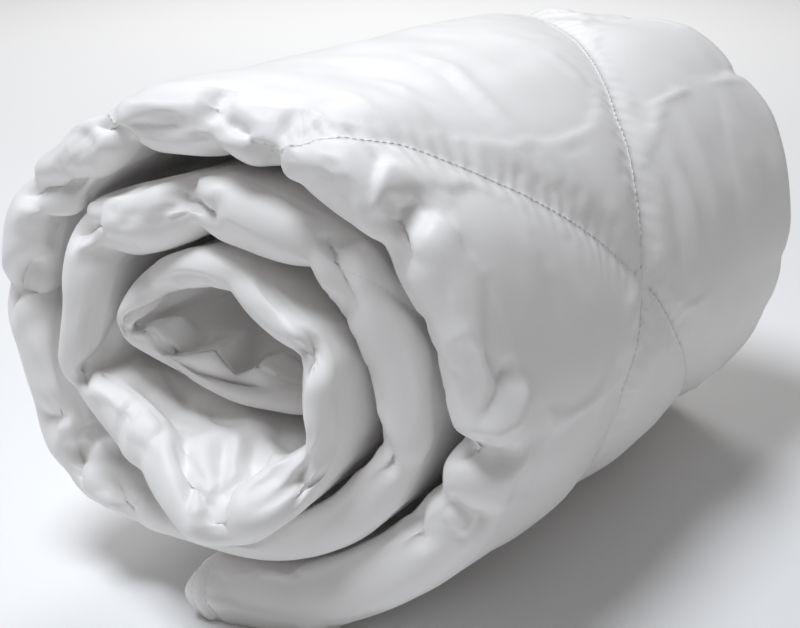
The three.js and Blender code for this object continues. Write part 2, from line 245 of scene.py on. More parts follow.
OUTER_RIM_CREASES = drawn(
    "top left",
    (8, 4, (24, 22), (15, 10), (10, -5), (4, -14), (-2, -24)),
    (4.5, 6, (8, -1), (-8, -3), (-24, -3), (-42, 1), (-57, 5)),
    (1.8, 3, (10, -10), (-4, -14), (-18, -16), (-45, -14)),
    (3.5, 7, (34, 16), (28, 2), (23, -9)),
    (-2.5, 5, (46, 14), (44, 5), (42, -4)),
    (3, 6, (60, 10), (56, -3), (52, -12)),
    (6, 3.5, (-52, 34), (-54, 26), (-59, 14), (-60, 4)),
    (5, 4, (-58, 13), (-70, 8), (-81, 5), (-94, -6), (-104, -14)),
    "top right",
    (5, 5, (60, 13), (44, 11), (37, 3)),
    (8, 4.5, (38, -2), (31, -9), (29, -20), (28, -32)),
    (-3.5, 4.5, (30, -12), (18, -13), (6, -13)),
    (4, 6, (21, 10), (15, 17), (9, 24)),
    (3.5, 3.2, (16, 27), (2, 27)),
    (2.5, 2.5, (5, 40), (-4, 39)),
    (4.5, 4.5, (-14, 46), (-17, 35), (-30, 12), (-36, 4), (-40, -4)),
    (-4, 4.5, (-24, 36), (-30, 20), (-44, -2)),
    "upper right",
    (3, 2.2, (41, 17), (38, 13), (31, 9)),
    (12, 6, (38, 34), (31, 21), (27, 5), (15, -5), (2, -16)),
    (-3, 7, (24, 30), (18, 16), (8, 2)),
    "right",
    (10, 4.5, (-22, -34), (-18, -23), (-13, -6), (-11, 12), (-11, 21), (-5, 26), (2, 21)),
    (-6, 8, (5, -4), (6, 12), (10, 24), (32, 38)),
    (4, 3.5, (-1, 2), (0, 8), (-1, 14)),
    (7, 5, (42, 34), (34, 26), (20, 14), (11, 7), (4, 0)),
    (-3, 6, (35, -10), (54, -1), (63, 16)),
    (3, 6, (14, -6), (26, 1), (36, 10), (54, 26)),
    "lower right",
    (7, 4.5, (46, -10), (43, 3), (39, 18), (32, 32)),
    (-4, 5, (36, -4), (34, 8), (30, 20)),
    (4, 4, (33, -6), (28, 8), (22, 20)),
    (7, 6, (16, -30), (13, -16), (10, -4), (6, 6)),
    "left shoulder",
    (11, 5.5, (2, 26), (-4, 15), (-16, 0), (-22, -3), (-51, -20), (-66, -32)),
    (-5, 6, (4, 14), (-6, -8), (-28, -24), (-46, -32)),
    (2.5, 3.5, (-10, 12), (-24, 4), (-46, -8)),
    "left",
    (11, 5.5, (5, 20), (3, 8), (-3, -2), (-18, -12), (-38, -29)),
    (-5, 6, (9, 8), (4, -9), (-6, -20), (-20, -34)),
    "lower left",
    (10, 5, (20, 16), (14, 2), (5, -12), (-10, -26)),
    (-4.5, 6, (28, 8), (24, -6), (12, -20)),
    (7, 6, (-34, 16), (-31, -6), (-33, -24)),
    (-3, 5, (-24, -4), (-25, -22)),
    "over the loose end",
    (9, 5, (4, 14), (0, -1), (-9, -13), (-24, -28)),
    (-3, 5, (-8, 4), (-16, -8)),
    (-3, 5, (12, 2), (6, -12)),
)

INNER_SEAM = ((14, 6), (5, 12), (-2, 16), (-9, 21), (-24, 34), (-60, 64))

SECOND_TURN_CREASES = drawn(
    "second shoulder",
    (9, 4.5, (6, 16), (-2, 7), (-11, 3), (-20, -4)),
    (-2.5, 3.5, (-8, 22), (-11, 12), (-12, 6)),
    (3, 4, (-15, 22), (-18, 12), (-17, 4)),
    (-3.5, 4, (8, 2), (3, -3), (-6, -8)),
    (4, 5, (-10, -8), (-26, -14), (-38, -20)),
    (2, 3, (-30, 14), (-32, 4)),
    "second top",
    (3, 6, (52, -4), (41, -3), (20, -5), (5, -5)),
    (10, 5, (24, 28), (23, 12), (14, 6), (5, 1), (-6, -8)),
    (-4.5, 7, (14, 24), (8, 13), (-3, 6)),
    (3, 5, (31, 8), (27, -2)),
    "second upper right",
    (10, 5, (34, 30), (29, 20), (20, 12), (12, 6), (-2, -4), (-22, -14)),
    (-4.5, 7, (20, 28), (8, 18), (-8, 8)),
    (3, 3.5, *INNER_SEAM),
    "second right",
    (9, 5, (-6, -26), (-20, -14), (-30, 3), (-38, 14)),
    "second left",
    (6, 4, (16, -2), (8, -12), (-6, -28), (-20, -43), (-34, -48), (-50, -62)),
    (-3.5, 6, (26, 0), (16, -14), (0, -34)),
)

THIRD_TURN_CREASES = drawn(
    "third left",
    (8, 4, (6, 10), (-4, -4), (-16, -18), (-29, -33), (-31, -67), (-40, -90)),
    (-3, 3.5, (0, -6), (-10, -22), (-25, -42), (-30, -60)),
    (6, 4, (6, -10), (2, -26), (-19, -42), (-31, -67)),
    (-9, 10, (12, -10), (16, -34), (20, -62)),
    (12, 6, (36, -70), (34, -50), (30, -30), (26, -6)),
    "third top",
    (3.5, 4, (34, -4), (20, -10), (4, -12), (-10, -10)),
    "core underside",
    (-9, 7, (-24, -82), (-22, -54), (-18, -34), (-14, -8)),
    (11, 5.5, (-14, -84), (-8, -54), (-2, -31), (2, -8)),
    (-10, 7, (10, -14), (13, -36), (17, -60)),
    (8, 4.5, (-42, 4), (-28, -8), (-12, -13), (13, -18), (20, -32)),
    (-4.5, 5.5, (-34, -12), (-14, -23), (12, -29)),
    "third lower left",
    (11, 5.5, (-10, -62), (24, -60), (46, -70), (69, -83)),
    (11, 5.5, (-14, -32), (4, -42), (39, -50), (62, -58)),
    (9, 5, (2, -44), (34, -45), (56, -33), (74, -23), (89, -5), (94, 12)),
    (5, 9, (6, -12), (22, -14)),
    (-3, 12, (30, -30), (38, -8)),
    "third underside",
    (10, 5, (-44, -30), (-26, -26), (-7, -20), (0, -4), (2, 22)),
    (7, 5, (-46, -62), (-30, -48), (-14, -36), (6, -22)),
    (-5, 6, (-44, -74), (-24, -52), (0, -36)),
    (6, 5, (-36, -84), (-14, -62), (8, -44), (26, -30)),
    (-4, 6, (-28, -90), (-2, -70), (20, -56)),
    (7, 5, (-44, -104), (-28, -98), (-10, -92), (12, -80), (32, -60)),
    (6, 5, (3, -104), (16, -94), (34, -80)),
    (3, 7, (30, -26), (34, -8), (34, 12)),
    "third right",
    (9, 4.5, (-14, 36), (-8, 18), (-3, 5), (4, -8)),
    "third upper right",
    (8, 5, (6, 26), (0, 12), (-2, 2), (-2, -12)),
    (-2.5, 6, (12, 16), (10, 4)),
)

HEM_LINE = ((15, -24), (17, -10), (19, -1), (21, 10), (22, 20), (22, 240), (22, 480))
HEM_EDGE_LINE = ((6, -24), (8, -10), (10, -1), (11, 10), (12, 20), (12, 240), (12, 480))
HEM_CREASES = (
    Crease("loose end", HEM_LINE, 1.8, 1.8, fade=Fade.NOWHERE),
    Crease("loose end", HEM_EDGE_LINE, 1.2, 1.6, fade=Fade.NOWHERE),
    *drawn(
        "loose end",
        (2.5, 5, (27, 26), (40, 34), (58, 36)),
        (2, 6, (26, -4), (44, 2), (70, 4)),
        "underside",
        (2.5, 6, (0, 14), (22, 22), (40, 20)),
    ),
)

STRETCH_WRINKLES = drawn(
    "top right",
    (-1.2, 4, (36, 75), (5, 63), (-17, 68)),
    (-1.5, 4, (55, 124), (12, 110), (-16, 112), (-46, 108)),
    (1.3, 4, (17, 113), (-12, 101), (-32, 98), (-50, 101)),
    (-2, 4.5, (70, 194), (15, 166), (-24, 142), (-63, 139), (-87, 155)),
    (1.6, 4, (64, 183), (10, 155), (-28, 132), (-66, 130), (-90, 146)),
    (-1.2, 4, (20, 274), (-3, 269), (-24, 261)),
    (1, 3.5, (16, 283), (-5, 278), (-28, 268)),
    "upper right",
    (-1.2, 4, (33, 158), (10, 158), (-9, 159)),
    (-1.3, 3.5, (1, 173), (-17, 177), (-38, 186)),
    (1.8, 5.5, (17, 246), (-7, 259), (-33, 244), (-77, 224)),
    (-1.6, 6, (34, 278), (5, 275), (-42, 264), (-81, 247)),
    (-1.6, 7, (34, 323), (-9, 308), (-60, 287)),
    (1.5, 7, (43, 404), (-6, 351), (-46, 325), (-86, 308)),
    (-1.5, 7, (-8, 383), (-50, 381)),
    (-1.2, 5, (-14, 230), (-56, 210)),
    (-1, 5, (-8, 124), (-38, 111), (-71, 117)),
    (0.8, 5, (0, 91), (-25, 86)),
)

CREASES = OUTER_RIM_CREASES + SECOND_TURN_CREASES + THIRD_TURN_CREASES + HEM_CREASES + STRETCH_WRINKLES


def ease(t: np.ndarray) -> np.ndarray:
    """Eases from 0 to 1 as t goes from 0 to 1."""
    k = np.clip(t, 0, 1)
    return k * k * (3 - 2 * k)


def bell(distance: np.ndarray, width: float) -> np.ndarray:
    """Returns a bell curve, 1 where the distance is 0."""
    return np.exp(-((distance / width) ** 2))


def along_path(points: np.ndarray, path: np.ndarray) -> tuple[np.ndarray, np.ndarray, np.ndarray]:
    """Finds the nearest place on a path of straight legs.

    Args:
        points: The places to measure from, one a row.
        path: The corners of the path, one a row.

    Returns:
        For each point its distance from the path, which side of it the point lies on as 1 or -1,
        and how far along the path the nearest place is, from 0 to 1.
    """
    legs = np.diff(path, axis=0)
    lengths = np.linalg.norm(legs, axis=1)
    starts = np.concatenate([[0], np.cumsum(lengths)])
    nearest = np.full(len(points), np.inf)
    side = np.ones(len(points))
    place = np.zeros(len(points))
    for start, leg, length, done in zip(path, legs, lengths, starts):
        off = points - start
        share = np.clip(off @ leg / length**2, 0, 1)
        away = np.linalg.norm(off - share[:, None] * leg, axis=1)
        closer = away < nearest
        nearest = np.where(closer, away, nearest)
        turned = np.sign(leg[0] * off[:, 1] - leg[1] * off[:, 0])
        side = np.where(closer, turned, side)
        place = np.where(closer, (done + share * length) / starts[-1], place)
    return nearest, side, place


@dataclass
class Winding:
    """Middle line of the strip, from the loose end to the core.

    The folds are rounded, then softened three times over: little at the near edge, most at the
    middle of the roll and some at its far edge. search_ahead is how many samples past one fold
    the next one is looked for.
    """

    folds: tuple[Fold, ...] = FOLDS
    step: float = 2.0
    near_soften: float = 5.0
    middle_soften: float = 24.0
    far_soften: float = 13.0
    normal_soften: float = 10.0
    far_swell: float = 0.3
    longest_bend: float = 0.48
    far_drop: float = 10.0
    roll_height: float = 322.0
    curve_splits: int = 10
    search_ahead: int = 130
    near: np.ndarray = field(init=False)
    middle: np.ndarray = field(init=False)
    far: np.ndarray = field(init=False)
    places: dict[str, float] = field(init=False)

    def __post_init__(self) -> None:
        """Works out the three lines and the place of each fold along the strip."""
        base = self.even_line()
        self.near = self.face_out(self.soften(base, self.near_soften), 0)
        self.middle = self.face_out(self.soften(base, self.middle_soften), 1)
        self.far = self.face_out(self.soften(base, self.far_soften), self.far_swell)
        self.far[:, Column.Z] -= self.far_drop * ease(self.far[:, Column.Z] / self.roll_height)
        self.places = self.fold_places()

    @property
    def length(self) -> float:
        """Length of the whole strip."""
        return (len(self.near) - 1) * self.step

    def rounded_folds(self) -> np.ndarray:
        """Turns each fold into a short curve between two straight runs.

        Returns:
            Samples of the middle line, one a row, with the first six columns.
        """
        rows = np.array(
            [[f.x, f.z, f.half, f.near_setback, f.far_setback, f.swell] for f in self.folds], float
        )
        points = [rows[0]]
        for before, here, after, fold in zip(rows, rows[1:], rows[2:], self.folds[1:]):
            back = np.linalg.norm(before[:2] - here[:2])
            ahead = np.linalg.norm(after[:2] - here[:2])
            bend = min(fold.bend, self.longest_bend * back, self.longest_bend * ahead)
            start = here + (before - here) * bend / back
            end = here + (after - here) * bend / ahead
            for k in range(self.curve_splits + 1):
                t = k / self.curve_splits
                coming = start + (here - start) * t
                going = here + (end - here) * t
                points.append(coming + (going - coming) * t)
        points.append(rows[-1])
        return np.array(points)

    def even_line(self) -> np.ndarray:
        """Returns the rounded middle line at even steps."""
        points = self.rounded_folds()
        runs = np.linalg.norm(np.diff(points[:, :2], axis=0), axis=1)
        lengths = np.concatenate([[0], np.cumsum(runs)])
        places = np.arange(0, lengths[-1], self.step)
        return np.stack([np.interp(places, lengths, column) for column in points.T], axis=1)

    def soften(self, line: np.ndarray, spread: float) -> np.ndarray:
        """Spreads each sample of a line over its neighbours, keeping its two ends in place.

        Args:
            line: Samples of the line, one a row.
            spread: How far a sample spreads along the line.

        Returns:
            The softened samples.
        """
        reach = math.ceil(3 * spread / self.step)
        weights = np.exp(-0.5 * (np.arange(-reach, reach + 1) * self.step / spread) ** 2)
        weights /= weights.sum()
        padded = np.pad(line, ((reach, reach), (0, 0)), mode="reflect", reflect_type="odd")
        return np.stack([np.convolve(column, weights, mode="valid") for column in padded.T], axis=1)

    def face_out(self, line: np.ndarray, swell_share: float) -> np.ndarray:
        """Adds the direction out of the roll to each sample and moves it out by its swell.

        Args:
            line: Samples of the line, one a row.
            swell_share: Share of the swell that the line has.

        Returns:
            The samples with all eight columns.
        """
        smooth = self.soften(line, self.normal_soften)[:, :2]
        ahead = np.vstack([smooth[1:], smooth[-1:]])
        behind = np.vstack([smooth[:1], smooth[:-1]])
        run = ahead - behind
        run /= np.linalg.norm(run, axis=1)[:, None]
        out = np.stack([run[:, 1], -run[:, 0]], axis=1)
        moved = line.copy()
        moved[:, :2] += out * (line[:, Column.SWELL] * swell_share)[:, None]
        return np.hstack([moved, out])

    def fold_places(self) -> dict[str, float]:
        """Returns the length along the strip at which each fold stands."""
        places = {}
        begin = 0
        for fold in self.folds:
            window = self.near[begin : begin + self.search_ahead, :2]
            away = np.linalg.norm(window - np.array([fold.x, fold.z]), axis=1)
            begin += int(np.argmin(away))
            places[fold.name] = begin * self.step
        return places

    def sample(self, line: np.ndarray, along: np.ndarray) -> np.ndarray:
        """Reads a line at any lengths along the strip.

        Args:
            line: One of the three lines.
            along: Lengths along the strip.

        Returns:
            The samples, one a row.
        """
        lengths = np.arange(len(line)) * self.step
        return np.stack([np.interp(along, lengths, column) for column in line.T], axis=1)


@dataclass
class Profile:
    """Points across the strip, from the front of the near edge over the outer face and back.

    u runs from 0 to 1 within each zone, across is 1 on the outer face and -1 on the inner one,
    and edge_angle is the turn of a point round its rounded edge, from 0 at the very front.
    """

    near_splits: int = 15
    far_splits: int = 7
    face_spacing: tuple[tuple[float, float], ...] = (
        (0, 2.2), (40, 3.2), (110, 6.5), (340, 5.5), (446, 4.5),
    )
    zone: np.ndarray = field(init=False)
    u: np.ndarray = field(init=False)
    across: np.ndarray = field(init=False)
    edge_angle: np.ndarray = field(init=False)

    def __post_init__(self) -> None:
        """Lays out the points of both faces and both edges."""
        outer = self.one_side()
        inner = [(zone, u, -across, -angle) for zone, u, across, angle in reversed(outer[1:-1])]
        rows = outer + inner
        self.zone, self.u, self.across, self.edge_angle = map(np.array, zip(*rows))

    @property
    def count(self) -> int:
        """Number of points in the profile."""
        return len(self.u)

    def face_places(self) -> list[float]:
        """Returns the shares of the face's width at which its points stand."""
        depths, steps = zip(*self.face_spacing)
        places = [0.0]
        while places[-1] < depths[-1]:
            places.append(places[-1] + float(np.interp(places[-1], depths, steps)))
        return [place / places[-1] for place in places]

    def one_side(self) -> list[tuple[int, float, float, float]]:
        """Returns rows of zone, u, across and edge angle for the outer half of the profile."""
        face = [(Zone.FACE, u, 1.0, math.pi / 2) for u in self.face_places()]
        far = self.rounding(Zone.FAR_EDGE, self.far_splits)
        return self.rounding(Zone.NEAR_EDGE, self.near_splits) + face + far[::-1]

    def rounding(self, zone: Zone, splits: int) -> list[tuple[int, float, float, float]]:
        """Returns the rows of one rounded edge, from its front up to the face."""
        angles = [k / splits * math.pi / 2 for k in range(splits)]
        return [(zone, 1 - math.cos(angle), math.sin(angle), angle) for angle in angles]


@dataclass
class Grid:
    """Points of the cover as rings along the strip, with the place of each on the cloth.

    along and inward are lengths along the strip and in from the near end; over and far_over are
    distances round from the front of the near edge and of the far edge, negative on the inner
    face.
    """

    points: np.ndarray
    along: np.ndarray
    inward: np.ndarray
    over: np.ndarray
    far_over: np.ndarray
    face: np.ndarray

    def normals(self) -> np.ndarray:
        """Returns the direction out of the filling at each point."""
        ring_run = np.gradient(self.points, axis=0)
        round_run = np.roll(self.points, -1, axis=1) - np.roll(self.points, 1, axis=1)
        out = np.cross(round_run, ring_run)
        return out / np.maximum(np.linalg.norm(out, axis=2), TINY)[:, :, None]


@dataclass
class FilledStrip:
    """The wound strip as one closed, filled form with pinched edges and sewn channels."""

    winding: Winding
    pinches: tuple[Pinch, ...] = PINCHES
    sewn_lines: tuple[SewnLine, ...] = SEWN_LINES
    roll_length: float = 492.0
    edge_round: float = 1.15
    edge_arc: float = 32.0
    end_zone: float = 120.0
    floor_ease: float = 6.0
    tip_taper: float = 16.0
    corner_round: float = 12.0
    end_thickness: float = 0.12
    end_rings: int = 9
    ring_step: float = 2.4
    far_pinch_shift: float = 15.0
    far_pinch_share: float = 0.85
    pinch_sharpness: float = 1.3
    channel_depth: float = 6.0
    channel_half_width: float = 22.0
    channel_sharpness: float = 1.15
    seam_reach: float = 40.0
    crossing_gap: float = 6.0
    quilt_crown: float = 2.5
    outer_turn_ends: float = 905.0
    quilt_fade: float = 60.0
    centre_x: float = 6.127
    near_end_y: float = -228.40

    def ring_places(self) -> np.ndarray:
        """Returns the lengths along the strip of all rings, closer together at its two ends."""
        angles = np.arange(self.end_rings) / self.end_rings * math.pi / 2
        tip = self.tip_taper * (1 - np.cos(angles))
        inner = np.arange(self.tip_taper, self.winding.length - self.tip_taper, self.ring_step)
        return np.concatenate([tip, inner, self.winding.length - tip[::-1]])

    def taper(self, along: np.ndarray) -> np.ndarray:
        """Returns the share of the full thickness at lengths along the strip.

        Args:
            along: Lengths along the strip.

        Returns:
            The shares, from the least thickness at an end up to 1.
        """
        from_end = np.minimum(along, self.winding.length - along) / self.tip_taper
        share = np.sqrt(1 - (1 - np.clip(from_end, 0, 1)) ** 2)
        return np.maximum(share, self.end_thickness)

    def drawn_in(self, key: str, along: np.ndarray, from_edge: np.ndarray, far: bool) -> np.ndarray:
        """Sums how much all pinches draw in one quantity.

        Args:
            key: Name of the pinch's quantity.
            along: Lengths along the strip, one a row.
            from_edge: Distances in from the edge.
            far: Whether the edge is the far one.

        Returns:
            The sum at each point.
        """
        total = np.zeros(np.broadcast(along, from_edge).shape)
        for pinch in self.pinches:
            place = self.winding.places[pinch.fold] + pinch.shift
            if far:
                place += self.far_pinch_shift
            away = np.abs(along - place) / pinch.width
            spread = np.exp(-(away**self.pinch_sharpness)) * np.exp(-from_edge / pinch.reach)
            total = total + getattr(pinch, key) * spread
        return total * (self.far_pinch_share if far else 1)

    def sewn_distance(self, along: np.ndarray, inward: np.ndarray) -> np.ndarray:
        """Returns the distance of each point of a face to the nearest sewn line.

        Args:
            along: Lengths along the strip.
            inward: Distances in from the near end.

        Returns:
            The distances, without a side.
        """
        places = np.stack([along.ravel(), inward.ravel()], axis=1)
        nearest = np.full(len(places), np.inf)
        for line in self.sewn_lines:
            away, _, _ = along_path(places, np.array(line.points, float))
            nearest = np.minimum(nearest, away)
        return nearest.reshape(along.shape)

    def seam_table(self, along: np.ndarray, inward: np.ndarray) -> np.ndarray:
        """Describes each point of a face by its nearest sewn line.

        Args:
            along: Lengths along the strip.
            inward: Distances in from the near end.

        Returns:
            The signed distance from the line, the run along it and a mask that is 0 away from it.
        """
        places = np.stack([along.ravel(), inward.ravel()], axis=1)
        nearest = np.full(len(places), np.inf)
        second = np.full(len(places), np.inf)
        signed = np.zeros(len(places))
        run = np.zeros(len(places))
        beyond = np.zeros(len(places), bool)
        for line in self.sewn_lines:
            path = np.array(line.points, float)
            length = np.linalg.norm(np.diff(path, axis=0), axis=1).sum()
            away, side, share = along_path(places, path)
            closer = away < nearest
            second = np.where(closer, nearest, np.minimum(second, away))
            nearest = np.where(closer, away, nearest)
            signed = np.where(closer, away * side, signed)
            run = np.where(closer, share * length, run)
            beyond = np.where(closer, (share <= 0) | (share >= 1), beyond)
        mask = 1 - ease((nearest - self.seam_reach / 2) / (self.seam_reach / 2))
        mask = mask * ease((second - nearest - self.crossing_gap) / self.crossing_gap) * ~beyond
        return np.stack([signed, run, mask], axis=1).reshape(*along.shape, 3)

    def quilting(self, along: np.ndarray, inward: np.ndarray) -> np.ndarray:
        """Returns the height of the quilted outer face over the plain one.

        Args:
            along: Lengths along the strip.
            inward: Distances in from the near end.

        Returns:
            The heights, negative in a channel.
        """
        fade = 1 - ease((along - (self.outer_turn_ends - self.quilt_fade)) / self.quilt_fade)
        away = self.sewn_distance(along, inward) / self.channel_half_width
        dip = (self.channel_depth + self.quilt_crown) * np.exp(-(away**self.channel_sharpness))
        return fade * (self.quilt_crown - dip)

    def grid(self, profile: Profile) -> Grid:
        """Builds the points of the whole cover.

        Args:
            profile: The points across the strip.

        Returns:
            The grid of points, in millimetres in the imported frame.
        """
        places = self.ring_places()
        lines = (self.winding.near, self.winding.middle, self.winding.far)
        near, middle, far = (self.winding.sample(line, places)[:, None, :] for line in lines)
        along = np.repeat(places[:, None], profile.count, axis=1)
        taper = self.taper(places)[:, None]
        corner = self.corner_round * (1 - taper)
        edge = np.zeros_like(places)[:, None]
        front = near[:, :, Column.NEAR_SETBACK] + corner
        front = front + self.drawn_in("setback", places[:, None], edge, far=False)
        back = self.roll_length - far[:, :, Column.FAR_SETBACK] - corner
        back = back - self.drawn_in("setback", places[:, None], edge, far=True)
        near_depth = near[:, :, Column.HALF] * self.edge_round
        far_depth = far[:, :, Column.HALF] * self.edge_round
        zone = profile.zone[None, :]
        u = profile.u[None, :]
        face_start = front + near_depth
        face_end = back - far_depth
        inward = np.where(
            zone == Zone.NEAR_EDGE,
            front + near_depth * u,
            np.where(zone == Zone.FACE, face_start + (face_end - face_start) * u, back - far_depth * u),
        )
        near_share = (1 - ease((inward - front) / self.end_zone))[:, :, None]
        far_share = (1 - ease((back - inward) / self.end_zone))[:, :, None]
        mixed = near_share * near + (1 - near_share - far_share) * middle + far_share * far
        out = mixed[:, :, [Column.OUT_X, Column.OUT_Z]]
        out = out / np.linalg.norm(out, axis=2)[:, :, None]
        across = profile.across[None, :] * np.ones_like(along)
        outer = across > 0
        depths = []
        for key in ("outer", "inner"):
            near_depths = self.drawn_in(key, along, inward - front, far=False)
            depths.append(near_depths + self.drawn_in(key, along, back - inward, far=True))
        reach = mixed[:, :, Column.HALF] - np.where(outer, *depths)
        reach += np.where(outer, self.quilting(along, inward), 0)
        away = reach * across * taper
        x = mixed[:, :, Column.X] + out[:, :, 0] * away + self.centre_x
        z = mixed[:, :, Column.Z] + out[:, :, 1] * away
        y = inward + self.near_end_y
        points = np.stack([x, y, self.press_flat(z)], axis=2)
        edge_share = profile.edge_angle[None, :] / (math.pi / 2) * self.edge_arc
        beyond_near = np.where(zone == Zone.NEAR_EDGE, 0, inward - face_start)
        beyond_far = np.where(zone == Zone.FAR_EDGE, 0, face_end - inward)
        side = np.where(across >= 0, 1, -1)
        over = np.where(zone == Zone.NEAR_EDGE, edge_share, side * (self.edge_arc + beyond_near))
        far_over = np.where(zone == Zone.FAR_EDGE, edge_share, side * (self.edge_arc + beyond_far))
        return Grid(points, along, inward, over, far_over, side)

    def press_flat(self, z: np.ndarray) -> np.ndarray:
        """Returns the heights with the lowest cloth pressed flat on what it rests on."""
        return np.maximum(z, 0) * ease(np.maximum(z, 0) / self.floor_ease)


@dataclass
class ClothSettling:
    """Fills the cover with air and lets the cloth settle, on a coarser copy of its grid.

    The travels are how far the cloth may move. The holds are how far round a seam, a pinch, an
    end or the floor it is held; under the next turn it is held from the covered depth on.
    """

    ring_stride: int = 3
    point_stride: int = 2
    pressure: float = 3.0
    frames: int = 20
    growth: float = 0.012
    edge_travel: float = 1.9
    face_travel: float = 1.0
    covered_travel: float = 0.5
    free_depth: float = 95.0
    seam_hold: float = 14.0
    pinch_hold: float = 5.0
    pinch_depth: float = 45.0
    pinch_strength: float = 0.9
    covered_depth: float = 100.0
    covered_fade: float = 60.0
    end_hold: float = 12.0
    floor_hold: float = 8.0

    def travel(self, grid: Grid, strip: FilledStrip) -> np.ndarray:
        """Returns how far each point of the cover may move.

        Args:
            grid: The cover as modelled.
            strip: The strip that the grid was made from.

        Returns:
            The distances, in millimetres.
        """
        edge = np.minimum(np.abs(grid.over), np.abs(grid.far_over))
        inner = 1 - ease((edge - strip.edge_arc) / self.free_depth)
        covered = ease((grid.along - strip.outer_turn_ends + strip.quilt_fade) / strip.quilt_fade)
        open_face = (1 - covered) * (grid.face == Face.OUTER)
        face = self.covered_travel + (self.face_travel - self.covered_travel) * open_face
        return face + (self.edge_travel - face) * inner * (np.abs(grid.over) < strip.edge_arc)

    def settle(self, grid: Grid, strip: FilledStrip) -> np.ndarray:
        """Runs the cloth on a coarse copy and carries what it moved to the fine grid.

        Args:
            grid: The cover as modelled.
            strip: The strip that the grid was made from.

        Returns:
            How far each point of the grid moves, in millimetres.
        """
        last = grid.points.shape[0] - 1
        rings = np.unique(np.append(np.arange(0, last + 1, self.ring_stride), last))
        picks = np.arange(0, grid.points.shape[1], self.point_stride)
        coarse = grid.points[np.ix_(rings, picks)]
        rest = closed_mesh("settling_cover", coarse * MM)
        piece = linked("settling_cover", rest)
        self.add_cloth(piece, self.held_share(grid, strip)[np.ix_(rings, picks)])
        scene = bpy.context.scene
        for step in range(1, self.frames + 1):
            scene.frame_set(step)
        settled = piece.evaluated_get(bpy.context.evaluated_depsgraph_get()).to_mesh()
        places = np.zeros(len(settled.vertices) * 3)
        settled.vertices.foreach_get("co", places)
        moved = places.reshape(coarse.shape) / MM - coarse
        bpy.data.objects.remove(piece)
        bpy.data.meshes.remove(rest)
        scene.frame_set(1)
        moved = self.spread(moved, rings, picks, grid.points.shape)
        far = np.linalg.norm(moved, axis=2)
        limit = self.travel(grid, strip)
        LOG.info("cloth settled: mean travel %.2f mm, most %.2f mm before the cap", far.mean(), far.max())
        capped = limit * np.tanh(far / limit) / np.maximum(far, TINY)
        return moved * capped[:, :, None]

    def add_cloth(self, piece: bpy.types.Object, held: np.ndarray) -> None:
        """Makes a piece cloth that is filled with air.

        Args:
            piece: The coarse copy of the cover.
            held: How firmly each of its points is held.
        """
        group = piece.vertex_groups.new(name="held")
        for index, weight in enumerate(held.ravel()):
            if weight > 0:
                group.add([index], float(weight), "REPLACE")
        cloth = piece.modifiers.new("cloth", "CLOTH")
        settings = {
            "quality": 6,
            "mass": 0.3,
            "tension_stiffness": 12,
            "compression_stiffness": 12,
            "shear_stiffness": 4,
            "bending_stiffness": 0.2,
            "use_pressure": True,
            "uniform_pressure_force": self.pressure,
            "shrink_min": -self.growth,
            "vertex_group_mass": "held",
            "pin_stiffness": 1.0,
        }
        for key, value in settings.items():
            setattr(cloth.settings, key, value)
        cloth.settings.effector_weights.gravity = 0
        cloth.collision_settings.use_collision = False
        cloth.point_cache.frame_start = 1
        cloth.point_cache.frame_end = self.frames

    def held_share(self, grid: Grid, strip: FilledStrip) -> np.ndarray:
        """Returns how firmly each point of the cover is held, from 0 to 1.

        Args:
            grid: The cover as modelled.
            strip: The strip that the grid was made from.

        Returns:
            The shares, 1 where the cloth can't move.
        """
        sewn = strip.sewn_distance(grid.along, grid.inward)
        seam = bell(sewn, self.seam_hold) * (grid.face == Face.OUTER)
        edge = np.minimum(np.abs(grid.over), np.abs(grid.far_over))
        pinch = np.zeros_like(grid.along)
        for row in strip.pinches:
            away = grid.along - (strip.winding.places[row.fold] + row.shift)
            near = bell(away, self.pinch_hold) * bell(grid.over, self.pinch_depth)
            far = bell(away - strip.far_pinch_shift, self.pinch_hold) * bell(grid.far_over, self.pinch_depth)
            pinch = np.maximum(pinch, np.maximum(near, far))
        covered = (grid.along > strip.outer_turn_ends) | (grid.face == Face.INNER)
        deep = ease((edge - self.covered_depth) / self.covered_fade) * covered
        ends = bell(np.minimum(grid.along, strip.winding.length - grid.along), self.end_hold)
        floor = 1 - ease(grid.points[:, :, 2] / self.floor_hold)
        return np.clip(np.max([seam, self.pinch_strength * pinch, deep, ends, floor], axis=0), 0, 1)

    def spread(
        self, moved: np.ndarray, rings: np.ndarray, picks: np.ndarray, shape: tuple[int, ...]
    ) -> np.ndarray:
        """Carries values of the coarse grid to every point of the fine one.

        Args:
            moved: Values at the coarse points.
            rings: Which rings the coarse grid has.
            picks: Which points of a ring the coarse grid has.
            shape: Shape of the fine grid.

        Returns:
            Values at the fine points.
        """
        every_ring = np.arange(shape[0])
        every_pick = np.arange(shape[1])
        closed = np.append(picks, shape[1])
        wrapped = np.concatenate([moved, moved[:, :1]], axis=1)
        across = np.apply_along_axis(lambda row: np.interp(every_pick, closed, row), 1, wrapped)
        return np.apply_along_axis(lambda column: np.interp(every_ring, rings, column), 0, across)


def linked(name: str, data: bpy.types.ID) -> bpy.types.Object:
    """Makes an object of its data and links it to the scene.

    Args:
        name: Name of the object.
        data: Its mesh, light or camera.

    Returns:
        The object.
    """
    piece = bpy.data.objects.new(name, data)
    bpy.context.scene.collection.objects.link(piece)
    return piece


